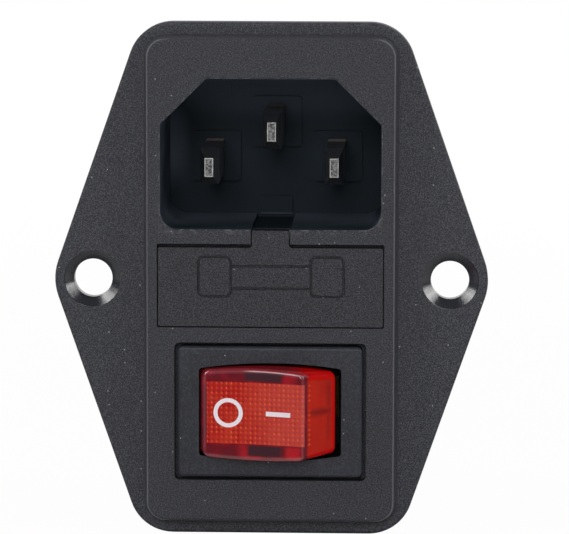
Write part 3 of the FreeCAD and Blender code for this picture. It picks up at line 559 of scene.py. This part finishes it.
metalWear = {
    "grainNoise": (3.0, 4.0, 0.65), "grainShare": 0.4, "stainNoise": (0.6, 3.0, 0.6), "stainShare": 0.6,
    "wornTone": (0.42, 0.66), "roughSpread": 0.3, "grainDepth": 0.01,
    "bodyShade": (26, 20, 16), "bodyShadeY": (14.0, 17.0),                # painted shade on metal inside the switch body
}
metalLooks = {                                       # colour, worn colour, roughness, streaks, share of painted shade inside the switch body
    "plated_strip": ((196, 194, 188), (146, 142, 132), 0.36, (2.2, 0.4, 2.2), 0.0),
    "bare_brass": ((214, 178, 104), (158, 122, 62), 0.34, (2.2, 0.4, 2.2), 0.9),
    "silver": ((226, 224, 218), (160, 156, 148), 0.3, (3.0, 3.0, 3.0), 0.0),
    "copper": ((206, 142, 108), (150, 88, 60), 0.36, (0.4, 2.2, 2.2), 0.0),
    "spring_steel": ((178, 179, 182), (120, 121, 124), 0.32, (4.0, 4.0, 4.0), 0.0),
    "tinned_wire": ((198, 198, 196), (140, 140, 138), 0.36, (4.0, 4.0, 4.0), 0.0),
}


def metalMaterial(name, look, wear):
    made, wire = startMaterial(name + "_metal")
    clean, worn, rough, streaks, bodyShade = look
    place = placeInMm(wire)
    x, y, z = axes(place)
    grain = noise(stretched(place, streaks), *wear["grainNoise"])
    stain = noise(place, *wear["stainNoise"])
    wornMask = rise(stain * wear["stainShare"] + grain * wear["grainShare"], *wear["wornTone"])
    colour = blend(wornMask, rgb(clean), rgb(worn))
    # painted shade: metal deep inside the switch body is darkened
    colour = blend((1 - rise(y, *wear["bodyShadeY"])) * bodyShade, colour, rgb(wear["bodyShade"]))
    close(wire, wire.node("BsdfPrincipled", {}, {
        "Base Color": colour, "Metallic": 1.0, "Roughness": rough + spread(grain, wear["roughSpread"]),
        "Normal": bump(grain, wear["grainDepth"])}))
    return made


pinLook = {
    # line is the tone of the painted highlight round each tip's edge
    "clean": (146, 147, 147), "worn": (64, 64, 64), "line": (226, 223, 216), "shank": (120, 123, 128),
    "root": (146, 130, 119), "tab": (194, 191, 184), "tabWorn": (148, 145, 138),
    "grainNoise": (5.0, 3.0, 0.7), "grainTone": (0.42, 0.6), "grainDepth": 0.01, "wornShare": (0.35, 0.65),
    "tipHalf": (0.475, 1.05), "tipSkin": 0.03, "tipSlack": 0.05, "outline": 0.13, "edgeHighlightShare": 0.8,
    "shankDepth": (0.05, 0.2), "shankShare": 0.8, "shankRough": 0.22,
    "rootY": (8.8, 9.8), "rootZ": (2.0, 0.06, 0.04), "rootRough": 0.4,
    "stainStretch": (2.0, 0.5, 2.0), "stainNoise": (1.5, 3.0, 0.6), "stainTone": (0.4, 0.7),
    "inletY": (5.0, 9.0, 0.5), "inletLow": 5.0, "rough": 0.16, "roughSpread": 0.25,
}


def pinMaterial(look):                               # nickel, with painted highlights on the tip edges, painted shade on the shanks and a painted tan reflection on the dull roots
    made, wire = startMaterial("nickel_metal")
    place = placeInMm(wire)
    x, y, z = axes(place)
    line = middleOf("line_pin")
    behind = y - lowOf("line_pin").y                 # mm behind the tips
    isEarth = abs(x) < line.x / 2
    u = wire.calc("MINIMUM", abs(x), abs(abs(x) - line.x))
    v = z - line.z - (middleOf("earth_pin").z - line.z) * isEarth
    halfWide, halfHigh = look["tipHalf"]
    tip = (behind < look["tipSkin"]) * (abs(v) < halfHigh + look["tipSlack"])
    sides = rise(u, halfWide - look["outline"], halfWide)
    ends = rise(abs(v), halfHigh - look["outline"], halfHigh)
    root = rise(y, *look["rootY"]) * inside(v, *look["rootZ"])
    grain = noise(place, *look["grainNoise"])
    wornMask = rise(grain, *look["grainTone"]) * (look["wornShare"][0] + look["wornShare"][1] * tip)
    colour = blend(wornMask, rgb(look["clean"]), rgb(look["worn"]))
    # painted highlight round the edge of each tip
    colour = blend(tip * strongest(sides, ends) * look["edgeHighlightShare"], colour, rgb(look["line"]))
    # painted shade: the shanks behind the tips are darker, deep in the recess
    colour = blend((1 - tip) * look["shankShare"], colour, rgb(look["shank"]))
    # painted reflection: a tan patch on top of each pin's root, which is also rough and not metal
    colour = blend(root, colour, rgb(look["root"]))
    stain = noise(stretched(place, look["stainStretch"]), *look["stainNoise"])
    tabColour = blend(rise(stain, *look["stainTone"]), rgb(look["tab"]), rgb(look["tabWorn"]))
    outside = 1 - inside(y, *look["inletY"])         # the rear tabs, and the fuse caps in the drawer
    outside = strongest(outside, z < look["inletLow"]) * (1 - tip)
    colour = blend(outside, colour, tabColour)
    rough = look["rough"] + spread(grain, look["roughSpread"]) + look["rootRough"] * root
    close(wire, wire.node("BsdfPrincipled", {}, {
        "Base Color": colour, "Metallic": 1 - root,
        "Roughness": rough + rise(behind, *look["shankDepth"]) * look["shankRough"],
        "Normal": bump(grain * tip, look["grainDepth"])}))
    return made


# Glass and small parts

glassLook = {                                        # linear colours
    "clear": (0.97, 0.985, 0.985, 1.0), "haze": (0.9, 0.93, 0.93, 1.0),
    "hazeStretch": (0.3, 1.0, 1.0), "hazeNoise": (1.4, 3.0, 0.6),
    "rough": 0.02, "hazeRough": 0.08, "ior": 1.5,
}


def glassMaterial(look):
    made, wire = startMaterial("clear_tube_glass")
    haze = noise(stretched(placeInMm(wire), look["hazeStretch"]), *look["hazeNoise"])
    close(wire, wire.node("BsdfPrincipled", {}, {
        "Base Color": blend(haze, look["clear"], look["haze"]),
        "Roughness": look["rough"] + look["hazeRough"] * haze,
        "Transmission Weight": 1.0, "IOR": look["ior"]}))
    return made


nylonLook = {
    "skin": (236, 233, 225), "shade": (212, 208, 198), "cloudNoise": (1.2, 3.0, 0.6), "cloudDepth": 0.01,
    "rough": 0.42, "roughSpread": 0.15,
}


def nylonMaterial(look):
    made, wire = startMaterial("white_nylon_moulding")
    cloud = noise(placeInMm(wire), *look["cloudNoise"])
    close(wire, wire.node("BsdfPrincipled", {}, {
        "Base Color": blend(cloud, rgb(look["skin"]), rgb(look["shade"])),
        "Roughness": look["rough"] + spread(cloud, look["roughSpread"]),
        "Normal": bump(cloud, look["cloudDepth"])}))
    return made


resistorLook = {
    "lacquer": (206, 178, 134), "shade": (186, 154, 108), "bandHalf": 0.13, "bandSoft": 0.02,
    "bands": ((-0.9, (112, 62, 30)), (-0.3, (24, 22, 22)), (0.3, (214, 170, 40)), (0.9, (190, 150, 70))),
    "cloudNoise": (2.0, 3.0, 0.6), "cloudDepth": 0.01, "rough": 0.35, "cloudRough": 0.1,
}


def resistorMaterial(look):
    made, wire = startMaterial("lacquered_resistor")
    place = placeInMm(wire)
    x, y, z = axes(place)
    cloud = noise(place, *look["cloudNoise"])
    middle = middleOf("lamp_resistor").z
    colour = blend(cloud, rgb(look["lacquer"]), rgb(look["shade"]))
    for offset, band in look["bands"]:
        ring = inside(z, middle + offset, look["bandHalf"], look["bandSoft"])
        colour = blend(ring, colour, rgb(band))
    close(wire, wire.node("BsdfPrincipled", {}, {
        "Base Color": colour, "Roughness": look["rough"] + look["cloudRough"] * cloud,
        "Normal": bump(cloud, look["cloudDepth"])}))
    return made


finishes = {
    "black_housing": housingMaterial(housingLook, inletLook),
    "black_drawer": drawerMaterial(drawerLook),
    "black_switch": switchMaterial(switchLook),
    "red_lens": rockerMaterial(rockerLook),
    "nickel": pinMaterial(pinLook),
    "clear_glass": glassMaterial(glassLook),
    "white_nylon": nylonMaterial(nylonLook),
    "resistor_lacquer": resistorMaterial(resistorLook),
}
for slotName, metalLook in metalLooks.items():
    finishes[slotName] = metalMaterial(slotName, metalLook, metalWear)
for item in nodes.values():
    for slot in item.material_slots:
        slot.material = finishes[slot.material.name.split(".")[0]]
print("finishes on the nodes:", len(finishes))


# Modelling helpers

def deselectAll():
    bpy.ops.object.select_all(action="DESELECT")


def pick(item):
    deselectAll()
    item.select_set(True)
    bpy.context.view_layer.objects.active = item


def settle(item):                                    # place, turn and scale go into the mesh
    pick(item)
    bpy.ops.object.transform_apply(location=True, rotation=True, scale=True)


def applyAll(item):
    pick(item)
    for modifier in list(item.modifiers):
        bpy.ops.object.modifier_apply(modifier=modifier.name)


def pickFaces(item, test):                           # selects faces by a test, and stays in edit mode
    bpy.ops.object.mode_set(mode="EDIT")
    bpy.ops.mesh.select_mode(type="FACE")
    bpy.ops.mesh.select_all(action="DESELECT")
    bpy.ops.object.mode_set(mode="OBJECT")
    for face in item.data.polygons:
        face.select = test(face)
    bpy.ops.object.mode_set(mode="EDIT")


backNormal = 0.9                                     # least y of a normal that points back


def looksBack(face):
    return face.normal.y > backNormal


def flatPlate(name, lowX, highX, lowZ, highZ, y):    # an upright plate, in mm
    deselectAll()
    middle = Vector(((lowX + highX) / 2, y, (lowZ + highZ) / 2)) * mm
    bpy.ops.mesh.primitive_plane_add(size=1, location=middle, rotation=(math.pi / 2, 0, 0))
    made = bpy.context.object
    made.name = name
    made.scale = ((highX - lowX) * mm, (highZ - lowZ) * mm, 1)
    settle(made)
    return made


# Fuse drawer with the moulded fuse sign

signLook = {
    "capsX": ((-8.18, -4.27), (4.36, 8.31)), "capsZ": (-1.80, 2.92), "capCorner": 0.7, "capSegments": 6,
    "barsZ": (-0.77, 1.74), "line": 0.3, "slope": 0.09, "depth": 0.22, "lift": 0.05,
    "mergeWithin": 0.001, "smoothAngle": 30,
}


def cutterFromPlate(item, look):                     # a flat shape becomes a cutter with sloping walls
    bpy.ops.object.mode_set(mode="EDIT")
    bpy.ops.mesh.select_all(action="SELECT")
    bpy.ops.mesh.extrude_region_move(TRANSFORM_OT_translate={"value": (0, look["lift"] * mm, 0)})
    bpy.ops.mesh.select_all(action="SELECT")
    bpy.ops.mesh.normals_make_consistent(inside=False)
    pickFaces(item, looksBack)
    bpy.ops.mesh.inset(thickness=look["slope"] * mm, depth=look["depth"] * mm)
    bpy.ops.object.mode_set(mode="OBJECT")
    return item


def signCutters(look):
    cutters = []
    start = lowOf("fuse_drawer").y - look["lift"]
    lowZ, highZ = look["capsZ"]
    for lowX, highX in look["capsX"]:                # a round cornered frame for each cap
        plate = flatPlate("cap_cut", lowX, highX, lowZ, highZ, start)
        bpy.ops.object.mode_set(mode="EDIT")
        bpy.ops.mesh.select_all(action="SELECT")
        bpy.ops.mesh.bevel(offset=look["capCorner"] * mm, segments=look["capSegments"], affect="VERTICES")
        bpy.ops.mesh.select_all(action="SELECT")
        bpy.ops.mesh.inset(thickness=look["line"] * mm)
        bpy.ops.mesh.delete(type="FACE")
        cutters.append(cutterFromPlate(plate, look))
    half = look["line"] / 2
    barStart = look["capsX"][0][1] - half
    barEnd = look["capsX"][1][0] + half
    for z in look["barsZ"]:                          # and two lines for the barrel
        plate = flatPlate("bar_cut", barStart, barEnd, z - half, z + half, start)
        cutters.append(cutterFromPlate(plate, look))
    return cutters


def makeSignedDrawer(look):
    source = nodes["fuse_drawer"]
    made = source.copy()
    made.data = source.data.copy()
    made.name = "fuse_drawer_signed"
    for key in list(made.keys()):
        del made[key]
    made.parent = None
    bpy.context.scene.collection.objects.link(made)
    pick(made)
    bpy.ops.mesh.customdata_custom_splitnormals_clear()
    bpy.ops.object.mode_set(mode="EDIT")
    bpy.ops.mesh.select_all(action="SELECT")
    bpy.ops.mesh.remove_doubles(threshold=look["mergeWithin"] * mm)
    bpy.ops.object.mode_set(mode="OBJECT")
    for cutter in signCutters(look):
        cut = made.modifiers.new("sign", "BOOLEAN")
        cut.operation = "DIFFERENCE"
        cut.solver = "EXACT"
        cut.object = cutter
        applyAll(made)
        bpy.data.objects.remove(cutter)
    pick(made)
    bpy.ops.object.shade_smooth_by_angle(angle=math.radians(look["smoothAngle"]))
    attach(made, "drawer_body")
    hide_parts("fuse_drawer")
    return made


signedDrawer = makeSignedDrawer(signLook)
print("drawer sign cut:", len(signedDrawer.data.polygons), "faces")


# Printed marks of the rocker

paintLook = {
    "paint": (228, 217, 222), "thin": (212, 196, 203),
    "speckNoise": (9.0, 2.0, 0.6), "speckTone": (0.4, 0.75), "speckDepth": 0.004,
    "rough": 0.4, "roughSpread": 0.2,
}


def paintMaterial(look):
    made, wire = startMaterial("white_mark_paint")
    speck = noise(placeInMm(wire), *look["speckNoise"])
    close(wire, wire.node("BsdfPrincipled", {}, {
        "Base Color": blend(rise(speck, *look["speckTone"]), rgb(look["paint"]), rgb(look["thin"])),
        "Roughness": look["rough"] + spread(speck, look["roughSpread"]),
        "Normal": bump(speck, look["speckDepth"])}))
    return made


markLook = {                                         # mm from the rocker's pivot, turned level
    "front": -8.6, "gap": 0.006, "thick": 0.035, "smoothAngle": 35,
    "ringX": -2.88, "ringZ": 0.19, "ringOuter": 1.65, "ringStroke": 0.46, "ringPoints": 72, "ringBands": 2,
    "barX": (1.39, 4.22), "barZ": 0.215, "barStroke": 0.52, "barTurn": -0.6, "barCuts": 9,
}


def layOnRocker(item, look):                         # flat shape onto the face, then a paint's thickness
    pivot = Matrix.Translation(Vector(rockerLook["pivot"]) * mm)
    item.matrix_world = pivot @ Matrix.Rotation(math.radians(rockerLook["restTurn"]), 4, "Z")
    settle(item)
    lay = item.modifiers.new("lay", "SHRINKWRAP")
    lay.target = nodes["rocker"]
    lay.wrap_method = "NEAREST_SURFACEPOINT"
    lay.wrap_mode = "ABOVE_SURFACE"
    lay.offset = look["gap"] * mm
    coat = item.modifiers.new("coat", "SOLIDIFY")
    coat.thickness = look["thick"] * mm
    coat.offset = 1.0
    applyAll(item)
    bpy.ops.object.shade_smooth_by_angle(angle=math.radians(look["smoothAngle"]))
    item.data.materials.append(markPaint)
    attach(item, "rocker_body")
    return item


def makeRing(look):
    deselectAll()
    middle = Vector((look["ringX"], look["front"], look["ringZ"])) * mm
    bpy.ops.mesh.primitive_circle_add(vertices=look["ringPoints"], radius=look["ringOuter"] * mm,
                                      fill_type="NGON", location=middle, rotation=(math.pi / 2, 0, 0))
    made = bpy.context.object
    made.name = "mark_ring"
    settle(made)
    bpy.ops.object.mode_set(mode="EDIT")
    bpy.ops.mesh.select_all(action="SELECT")
    for band in range(look["ringBands"]):            # bands let the ring follow the hollow face
        bpy.ops.mesh.inset(thickness=look["ringStroke"] / look["ringBands"] * mm)
    bpy.ops.mesh.delete(type="FACE")
    bpy.ops.object.mode_set(mode="OBJECT")
    return layOnRocker(made, look)


def makeBar(look):
    lowX, highX = look["barX"]
    half = look["barStroke"] / 2
    made = flatPlate("mark_bar", lowX, highX, look["barZ"] - half, look["barZ"] + half, look["front"])
    bpy.ops.object.mode_set(mode="EDIT")
    bpy.ops.mesh.select_all(action="SELECT")
    bpy.ops.mesh.subdivide(number_cuts=look["barCuts"])
    bpy.ops.mesh.select_all(action="SELECT")
    middle = Vector(((lowX + highX) / 2, look["front"], look["barZ"])) * mm
    bpy.ops.transform.rotate(value=math.radians(look["barTurn"]), orient_axis="Y", center_override=middle)
    bpy.ops.object.mode_set(mode="OBJECT")
    return layOnRocker(made, look)


markPaint = paintMaterial(paintLook)
markRing = makeRing(markLook)
markBar = makeBar(markLook)
print("rocker marks laid:", markRing.name, markBar.name)


# Floor, light and camera

stageLook = {                                        # linear greys, and floorSize in m
    "floor": 0.7, "floorDark": 0.686, "floorSize": 6.0, "floorNoise": (0.02, 3.0, 0.5), "floorRough": 0.8,
    "floorSpecular": 0.1, "whiteShare": 0.97, "fadeMm": (90, 400), "backMm": (40, 250),
    "studio": (0.14, 0.14, 0.1428, 1.0), "behind": (0.1, 0.6),
    "boxes": (("left_box", (-0.47, -0.19, 0.36), (0.1, 0.5), 1.8),    # place and size in m, power in W
              ("right_box", (0.52, -0.19, 0.28), (0.1, 0.44), 1.6),
              ("front_key", (-0.05, -0.88, 0.32), (0.4, 0.4), 4.0),
              ("rear_fill", (0.35, 0.80, 0.55), (0.6, 0.6), 2.4)),
}
white = grey(1.0)


def whiteRays(wire, behind):                         # rays to the camera, and mirrored ones from behind
    seen, glossy, through = wire.node("LightPath", {}, {}, out=(
        "Is Camera Ray", "Is Glossy Ray", "Is Transmission Ray"))
    return strongest(seen, strongest(glossy, through) * behind)


def makeFloor(look):
    deselectAll()
    bpy.ops.mesh.primitive_plane_add(size=look["floorSize"], location=(0, 0, cadLow.z))
    made = bpy.context.object
    made.name = "studio_floor"
    settle(made)
    finish, wire = startMaterial("pale_floor")
    place = placeInMm(wire)
    x, y, z = axes(place)
    grain = noise(place, *look["floorNoise"])
    paper = wire.node("BsdfPrincipled", {}, {
        "Base Color": blend(grain, grey(look["floor"]), grey(look["floorDark"])),
        "Roughness": look["floorRough"], "Specular IOR Level": look["floorSpecular"]})
    bright = wire.node("Emission", {}, {"Color": white, "Strength": 1.0})
    far = rise(distance(x, y), *look["fadeMm"])      # a trace of the shadow stays near the object
    share = whiteRays(wire, rise(y, *look["backMm"]))
    share = share * (look["whiteShare"] + (1 - look["whiteShare"]) * far)
    close(wire, mixed(share, paper, bright))
    made.data.materials.append(finish)


def makeWorld(look):
    world = bpy.data.worlds.new("studio")
    world.use_nodes = True
    world.node_tree.nodes.clear()
    wire = Wire(world.node_tree)
    x, y, z = axes(wire.node("TexCoord", {}, {}, out="Generated"))    # the direction of the ray
    colour = blend(whiteRays(wire, rise(y, *look["behind"])), look["studio"], white)
    back = wire.node("Background", {}, {"Color": colour, "Strength": 1.0})
    wire.node("OutputWorld", {}, {"Surface": back})
    bpy.context.scene.world = world


def makeBox(name, place, size, power):               # a soft box that looks at the object
    data = bpy.data.lights.new(name, "AREA")
    data.shape = "RECTANGLE"
    data.size, data.size_y = size
    data.energy = power
    made = bpy.data.objects.new(name, data)
    bpy.context.scene.collection.objects.link(made)
    made.location = place
    made.rotation_euler = (-Vector(place)).to_track_quat("-Z", "Y").to_euler()


cameraLook = {                                       # degrees and mm, but clipStart in m
    "turn": 2.191, "tilt": 7.010, "roll": 0.125, "away": 432.6, "aim": (1.411, 0, 1.169),
    "lens": 243.51, "sensor": 36, "clipStart": 0.01,
}


def makeCamera(look):
    turn = math.radians(look["turn"])
    tilt = math.radians(look["tilt"])
    level = Vector((-math.sin(turn), math.cos(turn), 0))
    ahead = level * math.cos(tilt) - Vector((0, 0, math.sin(tilt)))
    right = Vector((math.cos(turn), math.sin(turn), 0))
    up = right.cross(ahead)
    data = bpy.data.cameras.new("photo_camera")
    data.sensor_width = look["sensor"]
    data.lens = look["lens"]
    data.clip_start = look["clipStart"]
    made = bpy.data.objects.new("photo_camera", data)
    bpy.context.scene.collection.objects.link(made)
    spot = Matrix.Translation(Vector(look["aim"]) * mm - ahead * look["away"] * mm)
    facing = Matrix((right, up, -ahead)).transposed().to_4x4()
    made.matrix_world = spot @ facing @ Matrix.Rotation(math.radians(look["roll"]), 4, "Z")
    bpy.context.scene.camera = made


makeFloor(stageLook)
makeWorld(stageLook)
for boxSpec in stageLook["boxes"]:
    makeBox(*boxSpec)
makeCamera(cameraLook)
bpy.context.scene.view_settings.view_transform = "Standard"
print("stage and camera set")
